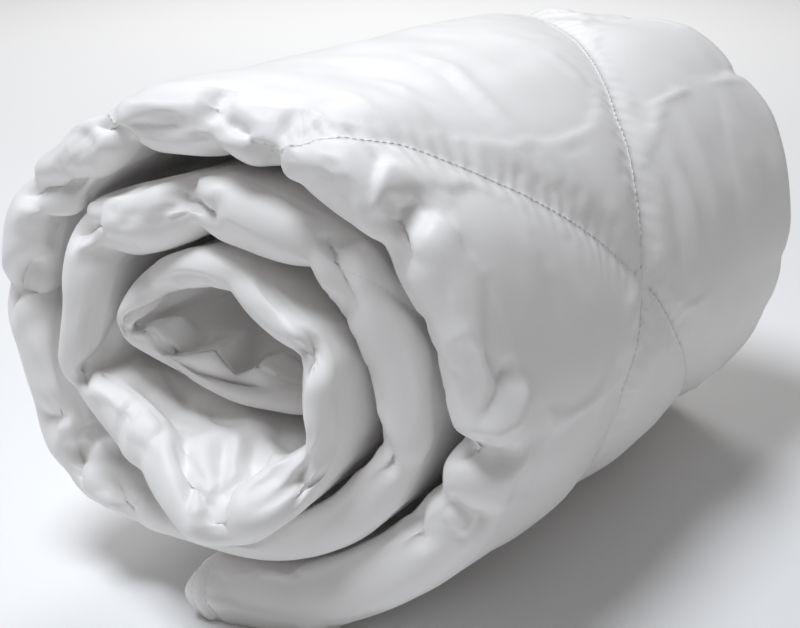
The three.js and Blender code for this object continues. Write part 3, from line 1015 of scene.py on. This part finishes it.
def closed_mesh(name: str, points: np.ndarray) -> bpy.types.Mesh:
    """Makes a closed mesh of quads from rings of points, with both ends closed.

    Args:
        name: Name of the mesh.
        points: Places in metres, by ring and by point of the ring.

    Returns:
        The mesh, its faces pointing out of the filling.
    """
    rings, count, _ = points.shape
    ids = np.arange(rings * count).reshape(rings, count)
    after = np.roll(ids, -1, axis=1)
    sides = np.stack([ids[:-1], ids[1:], after[1:], after[:-1]], axis=2).reshape(-1, 4)
    half = count // 2
    caps = []
    for ring, turned in ((ids[0], False), (ids[-1], True)):
        for k in range(half):
            corners = [ring[k], ring[k + 1], ring[(count - k - 1) % count], ring[(count - k) % count]]
            corners = list(dict.fromkeys(int(corner) for corner in corners))
            caps.append(corners[::-1] if turned else corners)
    faces = [list(map(int, side)) for side in sides] + caps
    mesh = bpy.data.meshes.new(name)
    mesh.from_pydata(points.reshape(-1, 3).tolist(), [], faces)
    mesh.validate()
    mesh.update()
    return mesh


@dataclass
class CreasedCover:
    """The cover itself: the settled strip with its drawn creases and its fine unevenness.

    spread widens every crease. window and shoulder are how far a crease reaches and where the
    cloth beside it stands highest, in its widths, and fade_rate is how soon it comes up from its
    ends. The uneven sizes are pairs of a size and a height; floor_fade is the height over which
    the unevenness comes up from the floor, and over_range the furthest over value it covers.
    """

    strip: FilledStrip
    settling: ClothSettling = field(default_factory=ClothSettling)
    creases: tuple[Crease, ...] = CREASES
    spread: float = 1.35
    window: float = 4.5
    shoulder: float = 2.2
    fade_rate: float = 3.3
    floor_fade: float = 8.0
    uneven_sizes: tuple[tuple[float, float], ...] = ((42, 0.8), (18, 0.28))
    uneven_seed: int = 11
    over_range: float = 550.0
    knot_margin: int = 4

    def shape(self) -> Grid:
        """Returns the finished grid of the cover."""
        grid = self.strip.grid(Profile())
        LOG.info("cover grid: %d rings of %d points", *grid.points.shape[:2])
        grid.points = grid.points + self.settling.settle(grid, self.strip)
        lift = self.unevenness(grid) * (1 - np.exp(-grid.points[:, :, 2] / self.floor_fade))
        grid.points = grid.points + grid.normals() * (lift - self.sinking(grid))[:, :, None]
        grid.points[:, :, 2] = self.strip.press_flat(grid.points[:, :, 2])
        return grid

    def sinking(self, grid: Grid) -> np.ndarray:
        """Sums all creases.

        Args:
            grid: The cover before its creases.

        Returns:
            How far each point sinks.
        """
        sink = np.zeros_like(grid.along)
        lengths = grid.along[:, 0]
        for crease in self.creases:
            start = self.strip.winding.places[crease.fold]
            path = np.array([(start + shift, over) for shift, over in crease.path], float)
            width = crease.width * self.spread
            reach = self.window * crease.width * self.spread
            first = path[:, 0].min() - reach
            last = path[:, 0].max() + reach
            rows = np.flatnonzero((lengths > first) & (lengths < last))
            window = np.abs(grid.over[rows] - path[:, 1].mean()) < np.ptp(path[:, 1]) / 2 + reach
            ring, point = np.nonzero(window)
            ring = rows[ring]
            places = np.stack([grid.along[ring, point], grid.over[ring, point]], axis=1)
            away, _, share = along_path(places, path)
            strength = np.exp(-((away / width) ** crease.sharpness))
            raised = bell(away - self.shoulder * width, width)
            fade = self.fade(crease.fade, share)
            sink[ring, point] += crease.depth * (strength - crease.shoulder * raised) * fade
        return sink

    def fade(self, kind: Fade, share: np.ndarray) -> np.ndarray:
        """Returns the strength of a crease at shares of its own length.

        Args:
            kind: How the crease dies away.
            share: Places along the crease, from 0 to 1.

        Returns:
            The strengths, from 0 to 1.
        """
        if kind is Fade.NOWHERE:
            return np.ones_like(share)
        return ease(np.minimum(share, 1 - share) * self.fade_rate)

    def unevenness(self, grid: Grid) -> np.ndarray:
        """Returns a soft random lift of the cloth, the same in every run.

        Args:
            grid: The cover before its creases.

        Returns:
            The lift of each point.
        """
        random = np.random.default_rng(self.uneven_seed)
        total = np.zeros_like(grid.along)
        for size, height in self.uneven_sizes:
            columns = int(self.strip.winding.length / size) + self.knot_margin
            rows = int(2 * self.over_range / size) + self.knot_margin
            knots = random.normal(size=(columns, rows))
            total += height * smooth_lookup(knots, grid.along / size, (grid.over + self.over_range) / size)
        return total

    def build(self, name: str) -> tuple[bpy.types.Object, Grid]:
        """Builds the cover's object with its cloth coordinates.

        Args:
            name: Name of the piece.

        Returns:
            The object and the grid that it was made from.
        """
        grid = self.shape()
        mesh = closed_mesh(name, grid.points * MM)
        mesh.polygons.foreach_set("use_smooth", np.ones(len(mesh.polygons), bool))
        self.lay_cloth_coordinates(mesh, grid)
        return linked(name, mesh), grid

    def lay_cloth_coordinates(self, mesh: bpy.types.Mesh, grid: Grid) -> None:
        """Gives the mesh a map of the cloth in metres and each point its row of the seam table.

        Args:
            mesh: The cover's mesh.
            grid: The grid that it was made from.
        """
        rings, count = grid.along.shape
        round_run = np.linalg.norm(np.roll(grid.points, -1, axis=1) - grid.points, axis=2)
        starts = np.concatenate([[0], np.cumsum(np.median(round_run, axis=0))])
        corners = np.zeros(len(mesh.loops), np.int64)
        mesh.loops.foreach_get("vertex_index", corners)
        ring, point = np.divmod(corners, count)
        totals = np.array([polygon.loop_total for polygon in mesh.polygons])
        face_of = np.repeat(np.arange(len(totals)), totals)
        highest = np.zeros(len(totals), np.int64)
        np.maximum.at(highest, face_of, point)
        wraps = (point == 0) & (highest[face_of] == count - 1)
        across = np.where(wraps, starts[count], starts[point])
        cloth_map = mesh.uv_layers.new(name="cloth")
        laid = np.stack([grid.along[ring, 0] * MM, across * MM], axis=1)
        cloth_map.data.foreach_set("uv", laid.astype(np.float32).ravel())
        seam = self.strip.seam_table(grid.along, grid.inward)
        seam[:, :, 2] *= grid.face == Face.OUTER
        seam[:, :, 2] *= grid.along < self.strip.outer_turn_ends - self.strip.quilt_fade
        attribute = mesh.attributes.new("seam", "FLOAT_VECTOR", "POINT")
        attribute.data.foreach_set("vector", seam.astype(np.float32).ravel())


def smooth_lookup(knots: np.ndarray, rows: np.ndarray, columns: np.ndarray) -> np.ndarray:
    """Reads a table between its knots with a smooth curve both ways.

    Args:
        knots: Values at whole numbers.
        rows: Places along the first axis.
        columns: Places along the second axis.

    Returns:
        The values there.
    """
    i = np.clip(rows.astype(int), 0, knots.shape[0] - 2)
    j = np.clip(columns.astype(int), 0, knots.shape[1] - 2)
    s = ease(rows - i)
    t = ease(columns - j)
    low = knots[i, j] * (1 - s) + knots[i + 1, j] * s
    high = knots[i, j + 1] * (1 - s) + knots[i + 1, j + 1] * s
    return low * (1 - t) + high * t


class Signal:
    """A socket's value in node maths, so that masks and mixes read as plain expressions."""

    def __init__(self, sheet: "NodeSheet", socket: bpy.types.NodeSocket) -> None:
        """Wraps one output socket."""
        self.sheet = sheet
        self.socket = socket

    def __add__(self, other: "Signal | float") -> "Signal":
        """Adds a value."""
        return self.sheet.maths("ADD", self, other)

    __radd__ = __add__

    def __sub__(self, other: "Signal | float") -> "Signal":
        """Takes a value away."""
        return self.sheet.maths("SUBTRACT", self, other)

    def __mul__(self, other: "Signal | float") -> "Signal":
        """Multiplies by a value."""
        return self.sheet.maths("MULTIPLY", self, other)

    __rmul__ = __mul__

    def __rpow__(self, other: "Signal | float") -> "Signal":
        """Raises a value to this power."""
        return self.sheet.maths("POWER", other, self)

    def sine(self) -> "Signal":
        """Returns the sine of the value."""
        return self.sheet.maths("SINE", self)


class NodeSheet:
    """A node tree, emptied, that nodes are added to one call at a time."""

    def __init__(self, tree: bpy.types.NodeTree) -> None:
        """Takes over the tree."""
        self.tree = tree
        self.tree.nodes.clear()

    def add(
        self, kind: str, settings: dict[str, object] | None = None, inputs: dict[object, object] | None = None
    ) -> bpy.types.Node:
        """Adds a node, sets it and then its sockets.

        Args:
            kind: Type of the node.
            settings: Values of its properties, set first.
            inputs: Values or signals of its inputs, by name or number.

        Returns:
            The node.
        """
        node = self.tree.nodes.new(kind)
        for key, value in (settings or {}).items():
            setattr(node, key, value)
        for key, value in (inputs or {}).items():
            if isinstance(value, Signal):
                self.tree.links.new(value.socket, node.inputs[key])
            else:
                node.inputs[key].default_value = value
        return node

    def put(
        self,
        output: str | int,
        kind: str,
        settings: dict[str, object] | None = None,
        inputs: dict[object, object] | None = None,
    ) -> Signal:
        """Adds a node as add does, and returns one of its outputs."""
        return self.output(self.add(kind, settings, inputs), output)

    def output(self, node: bpy.types.Node, name: str | int) -> Signal:
        """Wraps one output of a node."""
        return Signal(self, node.outputs[name])

    def maths(self, operation: str, *values: Signal | float) -> Signal:
        """Returns the result of a Math node on the values."""
        return self.put(0, "ShaderNodeMath", {"operation": operation}, dict(enumerate(values)))


class MaterialSheet(NodeSheet):
    """The node tree of one material."""

    def __init__(self, name: str) -> None:
        """Makes a material with an empty tree."""
        self.material = bpy.data.materials.new(name)
        self.material.use_nodes = True
        super().__init__(self.material.node_tree)

    def noise(self, vector: Signal, scale: float, detail: float = 2.0, roughness: float = 0.5) -> Signal:
        """Returns smooth noise at a scale."""
        inputs = {"Vector": vector, "Scale": scale, "Detail": detail, "Roughness": roughness}
        return self.put("Fac", "ShaderNodeTexNoise", {"noise_dimensions": "3D"}, inputs)

    def drawn_noise(self, vector: Signal, grain: "Grain") -> Signal:
        """Returns noise drawn out one way.

        Args:
            vector: The coordinates.
            grain: The way that the noise is drawn out.

        Returns:
            The noise, from 0 to 1.
        """
        inputs = {"Vector": vector, "Scale": (*grain.scale, 1.0), "Rotation": (0.0, 0.0, grain.turn)}
        drawn_out = self.put("Vector", "ShaderNodeMapping", {"vector_type": "POINT"}, inputs)
        return self.noise(drawn_out, 1.0, grain.detail, grain.roughness)

    def mottle(self, share: Signal, first: tuple[float, ...], second: tuple[float, ...]) -> Signal:
        """Returns a colour between two by a share."""
        inputs = {0: share, 6: (*first, 1.0), 7: (*second, 1.0)}
        return self.put(2, "ShaderNodeMix", {"data_type": "RGBA"}, inputs)

    def bump(
        self, height: Signal, distance: float, strength: float = 1.0, under: Signal | None = None
    ) -> Signal:
        """Returns a normal raised by a height.

        Args:
            height: The height, as a share of the distance.
            distance: Height of a full share, in millimetres.
            strength: Strength of the relief.
            under: Normal that the relief stands on, if not the mesh's own.

        Returns:
            The normal.
        """
        inputs = {"Strength": strength, "Distance": distance * MM, "Height": height}
        if under is not None:
            inputs["Normal"] = under
        return self.put("Normal", "ShaderNodeBump", None, inputs)

    def surface(self, inputs: dict[object, object]) -> bpy.types.Material:
        """Adds the shader with its inputs and returns the finished material.

        Args:
            inputs: Values or signals of the shader's inputs.

        Returns:
            The material.
        """
        shader = self.put("BSDF", "ShaderNodeBsdfPrincipled", None, inputs)
        self.add("ShaderNodeOutputMaterial", None, {"Surface": shader})
        return self.material


@dataclass(frozen=True)
class StitchTree:
    """Geometry Nodes that set thread along lines: each stitch is a small drawn-out bead."""

    pitch: float = 4.5
    stitch_length: float = 3.3
    thread_width: float = 0.55
    segments: int = 6
    rings: int = 4
    seed: int = 7
    shortest: float = 0.88
    longest: float = 1.08

    def values(self) -> dict[str, float | int]:
        """Returns the values of the tree's named inputs, with lengths in metres."""
        return {
            "Pitch": self.pitch * MM,
            "Stitch Length": self.stitch_length * MM,
            "Thread Width": self.thread_width * MM,
            "Seed": self.seed,
        }

    def make(self, name: str) -> bpy.types.NodeTree:
        """Builds the tree with named inputs.

        Args:
            name: Name of the tree.

        Returns:
            The tree.
        """
        tree = bpy.data.node_groups.new(name, "GeometryNodeTree")
        side = tree.interface
        side.new_socket("Geometry", in_out="INPUT", socket_type="NodeSocketGeometry")
        for label, value in self.values().items():
            kind = "NodeSocketInt" if isinstance(value, int) else "NodeSocketFloat"
            side.new_socket(label, in_out="INPUT", socket_type=kind).default_value = value
        side.new_socket("Thread", in_out="INPUT", socket_type="NodeSocketMaterial")
        side.new_socket("Geometry", in_out="OUTPUT", socket_type="NodeSocketGeometry")
        sheet = NodeSheet(tree)
        entry = sheet.add("NodeGroupInput")
        given = {item.name: sheet.output(entry, item.name) for item in entry.outputs if item.name}
        line = sheet.put("Curve", "GeometryNodeMeshToCurve", None, {"Mesh": given["Geometry"]})
        paced = {"Curve": line, "Length": given["Pitch"]}
        even = sheet.put("Curve", "GeometryNodeResampleCurve", {"mode": "LENGTH"}, paced)
        tangent = sheet.put("Tangent", "GeometryNodeInputTangent")
        aim = sheet.put("Rotation", "FunctionNodeAlignEulerToVector", {"axis": "Z"}, {"Vector": tangent})
        sphere = {"Segments": self.segments, "Rings": self.rings, "Radius": 0.5}
        bead = sheet.put("Mesh", "GeometryNodeMeshUVSphere", None, sphere)
        limits = {2: self.shortest, 3: self.longest, "Seed": given["Seed"]}
        uneven = sheet.put(1, "FunctionNodeRandomValue", {"data_type": "FLOAT"}, limits)
        width = given["Thread Width"]
        sizes = {"X": width, "Y": width, "Z": given["Stitch Length"] * uneven}
        size = sheet.put("Vector", "ShaderNodeCombineXYZ", None, sizes)
        beads = {"Points": even, "Instance": bead, "Rotation": aim, "Scale": size}
        laid = sheet.put("Instances", "GeometryNodeInstanceOnPoints", None, beads)
        real = sheet.put("Geometry", "GeometryNodeRealizeInstances", None, {"Geometry": laid})
        dressing = {"Geometry": real, "Material": given["Thread"]}
        dressed = sheet.put("Geometry", "GeometryNodeSetMaterial", None, dressing)
        sheet.add("NodeGroupOutput", None, {"Geometry": dressed})
        return tree


@dataclass
class StitchRow:
    """A row of stitches laid along a line of the finished cover.

    corners holds pairs of a length along the strip and a distance across it, which is the distance
    in from the near end or, for a row by_over, the distance over the near edge.
    """

    corners: tuple[tuple[float, float], ...]
    by_over: bool = False
    sample_step: float = 1.5
    lift: float = 0.1

    def lay(self, grid: Grid) -> np.ndarray:
        """Returns places along the row, in millimetres, just above the cloth.

        Args:
            grid: The finished cover.

        Returns:
            The places, one a row.
        """
        corners = np.array(self.corners, float)
        lengths = np.concatenate([[0], np.cumsum(np.linalg.norm(np.diff(corners, axis=0), axis=1))])
        runs = np.arange(0, lengths[-1], self.sample_step)
        along, aside = (np.interp(runs, lengths, column) for column in corners.T)
        count = grid.points.shape[1]
        order = np.arange(count // 2 + 1)
        if self.by_over:
            order = np.concatenate([np.arange(count // 2 + 1, count), order])
        measure = (grid.over if self.by_over else grid.inward)[:, order]
        lifted = (grid.points + grid.normals() * self.lift)[:, order]
        ring = np.interp(along, grid.along[:, 0], np.arange(len(grid.along)))
        places = np.empty((len(runs), 3))
        for k, (row, distance) in enumerate(zip(ring, aside)):
            low = min(int(row), len(measure) - 2)
            share = row - low
            ends = []
            for r in (low, low + 1):
                ends.append([np.interp(distance, measure[r], lifted[r, :, axis]) for axis in range(3)])
            places[k] = np.array(ends[0]) * (1 - share) + np.array(ends[1]) * share
        return places


@dataclass
class Stitching:
    """All rows of stitches of one kind, as one plain mesh."""

    name: str
    rows: tuple[StitchRow, ...]
    tree: StitchTree = field(default_factory=StitchTree)

    def build(self, grid: Grid, thread: bpy.types.Material) -> bpy.types.Object:
        """Lays the rows on the cover and turns them to a plain mesh.

        Args:
            grid: The finished cover.
            thread: Material of the thread.

        Returns:
            The object.
        """
        places = []
        edges = []
        for row in self.rows:
            laid = row.lay(grid)
            first = len(places)
            places.extend((laid * MM).tolist())
            edges.extend((first + k, first + k + 1) for k in range(len(laid) - 1))
        lines = bpy.data.meshes.new(self.name + "_lines")
        lines.from_pydata(places, edges, [])
        piece = linked(self.name, lines)
        modifier = piece.modifiers.new("stitches", "NODES")
        modifier.node_group = self.tree.make(self.name + "_nodes")
        items = modifier.node_group.interface.items_tree
        sockets = {item.name: item.identifier for item in items if item.in_out == "INPUT"}
        for label, value in (self.tree.values() | {"Thread": thread}).items():
            modifier[sockets[label]] = value
        settled = piece.evaluated_get(bpy.context.evaluated_depsgraph_get())
        plain = bpy.data.meshes.new_from_object(settled)
        piece.modifiers.remove(modifier)
        piece.data = plain
        plain.name = self.name
        bpy.data.meshes.remove(lines)
        return piece


@dataclass(frozen=True)
class Grain:
    """Noise drawn out one way: its scale along and across, and how far it is turned."""

    scale: tuple[float, float]
    turn: float
    detail: float = 1.0
    roughness: float = 0.5


@dataclass(frozen=True)
class SateenFinish:
    """White cotton sateen: close weave, soft lustre and small ripples near the seams.

    The falls say how fast a mark dies away from its seam, per millimetre. The shares of the
    ripples, folds and marks are parts of the ripple height, and the weft's is a part of the weave.
    """

    name: str = "white_sateen"
    light: tuple[float, float, float] = (0.94, 0.925, 0.912)
    shade: tuple[float, float, float] = (0.92, 0.902, 0.886)
    tone_scale: float = 9.0
    tone_detail: float = 3.0
    roughness: float = 0.42
    roughness_by_tone: float = 0.1
    roughness_by_weave: float = 0.05
    sheen: float = 0.2
    sheen_roughness: float = 0.5
    specular: float = 0.4
    thread_pitch: float = 0.45
    weft: tuple[float, float] = (0.16, 1.0)
    warp: tuple[float, float] = (0.7, 0.12)
    weave_turn: float = 0.12
    weft_share: float = 0.6
    weave_height: float = 0.055
    ripple_height: float = 0.35
    ripples: Grain = Grain((85.0, 30.0), turn=0.55, detail=3.0, roughness=0.55)
    folds: Grain = Grain((30.0, 75.0), turn=-0.35, detail=2.0)
    plain_ripple_share: float = 0.3
    seam_ripple_share: float = 1.2
    fold_share: float = 0.5
    pucker_pitch: float = 11.0
    pucker_wander: float = 9.0
    wander_scale: float = 40.0
    pucker_fall: float = 0.09
    pucker_share: float = 0.8
    groove_fall: float = 0.8
    groove_share: float = 2.6
    stitch_pitch: float = 4.5
    needle_fall: float = 1.6
    needle_share: float = 1.2

    def weave(self, sheet: MaterialSheet, cloth: Signal) -> Signal:
        """Returns the weave, from threads drawn out both ways.

        Args:
            sheet: The material's sheet.
            cloth: The cloth map.

        Returns:
            The height of the weave, from 0 to 1.
        """
        threads = 1 / (self.thread_pitch * MM)
        runs = []
        for along, across in (self.weft, self.warp):
            grain = Grain((threads * along, threads * across), self.weave_turn)
            runs.append(sheet.drawn_noise(cloth, grain))
        return runs[0] * self.weft_share + runs[1] * (1 - self.weft_share)

    def relief(self, sheet: MaterialSheet, cloth: Signal) -> Signal:
        """Returns the ripples of the cloth and the marks along its seams.

        Args:
            sheet: The material's sheet.
            cloth: The cloth map.

        Returns:
            The height, as a share of the ripple height.
        """
        table = sheet.put("Vector", "ShaderNodeAttribute", {"attribute_name": "seam"})
        parts = sheet.add("ShaderNodeSeparateXYZ", None, {"Vector": table})
        across, run, mask = (sheet.output(parts, axis) for axis in "XYZ")
        away = sheet.maths("ABSOLUTE", across)
        near_seam = mask * math.e ** (away * -self.pucker_fall)
        groove = mask * math.e ** (away * -self.groove_fall)
        needle = mask * math.e ** (away * -self.needle_fall) * (run * (math.tau / self.stitch_pitch)).sine()
        uneven_run = run + self.pucker_wander * sheet.noise(cloth, self.wander_scale, detail=1.0)
        puckers = near_seam * (uneven_run * (math.tau / self.pucker_pitch)).sine()
        ripples = sheet.drawn_noise(cloth, self.ripples)
        height = ripples * (self.plain_ripple_share + self.seam_ripple_share * near_seam)
        height = height + sheet.drawn_noise(cloth, self.folds) * self.fold_share
        return height + puckers * self.pucker_share - groove * self.groove_share - needle * self.needle_share

    def make(self) -> bpy.types.Material:
        """Builds the material.

        Returns:
            The material, patterned by the piece's own cloth map.
        """
        sheet = MaterialSheet(self.name)
        cloth = sheet.put("UV", "ShaderNodeUVMap", {"uv_map": "cloth"})
        tone = sheet.noise(cloth, self.tone_scale, self.tone_detail)
        weave = self.weave(sheet, cloth)
        soft = sheet.bump(self.relief(sheet, cloth), self.ripple_height)
        return sheet.surface(
            {
                "Base Color": sheet.mottle(tone, self.light, self.shade),
                "Roughness": self.roughness + self.roughness_by_tone * tone + self.roughness_by_weave * weave,
                "Sheen Weight": self.sheen,
                "Sheen Roughness": self.sheen_roughness,
                "Specular IOR Level": self.specular,
                "Normal": sheet.bump(weave, self.weave_height, under=soft),
            }
        )


@dataclass(frozen=True)
class SpeckledFinish:
    """A plain finish, a little darker in small spots, with the spots as relief where it has any."""

    name: str
    colour: tuple[float, float, float]
    roughness: float
    spot_scale: float
    spot_detail: float
    spot_colour: float
    relief: float = 0.0
    relief_strength: float = 0.4

    def make(self) -> bpy.types.Material:
        """Builds the material."""
        sheet = MaterialSheet(self.name)
        place = sheet.put("Object", "ShaderNodeTexCoord")
        spots = sheet.noise(place, self.spot_scale, self.spot_detail)
        darker = tuple(self.spot_colour * part for part in self.colour)
        inputs = {"Base Color": sheet.mottle(spots, self.colour, darker), "Roughness": self.roughness}
        if self.relief:
            inputs["Normal"] = sheet.bump(spots, self.relief, self.relief_strength)
        return sheet.surface(inputs)


THREAD_FINISH = SpeckledFinish(
    "white_thread",
    colour=(0.86, 0.855, 0.85),
    roughness=0.5,
    spot_scale=2200.0,
    spot_detail=1.0,
    spot_colour=0.93,
    relief=0.1,
)
FLOOR_FINISH = SpeckledFinish(
    "pale_floor",
    colour=(0.92, 0.92, 0.92),
    roughness=0.8,
    spot_scale=3.0,
    spot_detail=2.0,
    spot_colour=0.985,
)


@dataclass(frozen=True)
class Lamp:
    """A soft area lamp, aimed at the middle of the roll unless told otherwise."""

    name: str
    place: tuple[float, float, float]
    size: float
    power: float
    colour: tuple[float, float, float] = (1.0, 1.0, 1.0)
    aim: tuple[float, float, float] = (0.0, 0.0, 0.15)

    def build(self) -> None:
        """Makes the lamp and turns it to its aim."""
        light = bpy.data.lights.new(self.name, "AREA")
        light.shape = "DISK"
        light.size = self.size
        light.energy = self.power
        light.color = self.colour
        lamp = linked(self.name, light)
        lamp.location = self.place
        lamp.rotation_euler = (Vector(self.aim) - lamp.location).to_track_quat("-Z", "Y").to_euler()


@dataclass
class Studio:
    """Pale floor, soft light and the camera of the photograph."""

    floor_size: float = 14.0
    floor_finish: SpeckledFinish = FLOOR_FINISH
    sky_colour: tuple[float, float, float] = (1.0, 0.975, 0.96)
    sky_strength: float = 0.18
    lamps: tuple[Lamp, ...] = (
        Lamp("window", (-0.32, -0.6, 2.2), size=0.9, power=37.0, colour=(0.9, 0.94, 1.0)),
        Lamp("backdrop", (-1.4, 1.9, 1.9), size=1.6, power=32.0, aim=(-1.4, 2.0, 0.0)),
    )
    camera_place: tuple[float, float, float] = (0.5061, -0.7621, 0.4703)
    camera_aim: tuple[float, float, float] = (-0.5359, 0.7696, -0.3476)
    lens: float = 63.0
    sensor_width: float = 36.0

    def build(self) -> None:
        """Sets up the floor, the light and the camera."""
        self.lay_floor()
        world = bpy.data.worlds.new("studio_air")
        world.use_nodes = True
        air = world.node_tree.nodes["Background"]
        air.inputs["Color"].default_value = (*self.sky_colour, 1.0)
        air.inputs["Strength"].default_value = self.sky_strength
        bpy.context.scene.world = world
        bpy.context.scene.view_settings.view_transform = "Standard"
        for lamp in self.lamps:
            lamp.build()
        self.place_camera()

    def lay_floor(self) -> None:
        """Makes the pale floor."""
        half = self.floor_size / 2
        corners = [(-half, -half, 0), (half, -half, 0), (half, half, 0), (-half, half, 0)]
        mesh = bpy.data.meshes.new("floor")
        mesh.from_pydata(corners, [], [(0, 1, 2, 3)])
        mesh.materials.append(self.floor_finish.make())
        floor = linked("floor", mesh)

    def place_camera(self) -> None:
        """Makes the camera at the photograph's viewing angle."""
        lens = bpy.data.cameras.new("camera")
        lens.lens = self.lens
        lens.sensor_width = self.sensor_width
        camera = linked("camera", lens)
        camera.location = self.camera_place
        camera.rotation_euler = Vector(self.camera_aim).to_track_quat("-Z", "Y").to_euler()
        bpy.context.scene.camera = camera


def stitchings(winding: Winding) -> tuple[Stitching, ...]:
    """Lists the rows of stitches.

    Args:
        winding: The winding, whose fold places the rows are measured from.

    Returns:
        The quilting's rows and the hem's.
    """
    inner_start = winding.places["second upper right"]
    inner_row = tuple((inner_start + shift, over) for shift, over in INNER_SEAM)
    quilting = [StitchRow(line.points) for line in SEWN_LINES]
    hem = tuple(StitchRow(line, by_over=True) for line in (HEM_LINE, HEM_EDGE_LINE))
    return (
        Stitching("quilting_stitches", (*quilting, StitchRow(inner_row, by_over=True))),
        Stitching("hem_stitches", hem),
    )


def main() -> None:
    """Builds the cover and the studio, and reports each piece."""
    logging.basicConfig(level=logging.INFO, format="%(name)s: %(message)s")
    strip = FilledStrip(Winding())
    cover, grid = CreasedCover(strip).build("quilted_cover")
    cover.data.materials.append(SateenFinish().make())
    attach(cover, "root")
    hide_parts("duvet")
    LOG.info("quilted cover: %d faces", len(cover.data.polygons))
    thread = THREAD_FINISH.make()
    for stitching in stitchings(strip.winding):
        piece = stitching.build(grid, thread)
        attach(piece, "root")
        LOG.info("%s: %d faces", piece.name, len(piece.data.polygons))
    studio = Studio()
    studio.build()
    LOG.info("studio: floor, %d lamps and camera", len(studio.lamps))


if __name__ == "__main__":
    main()
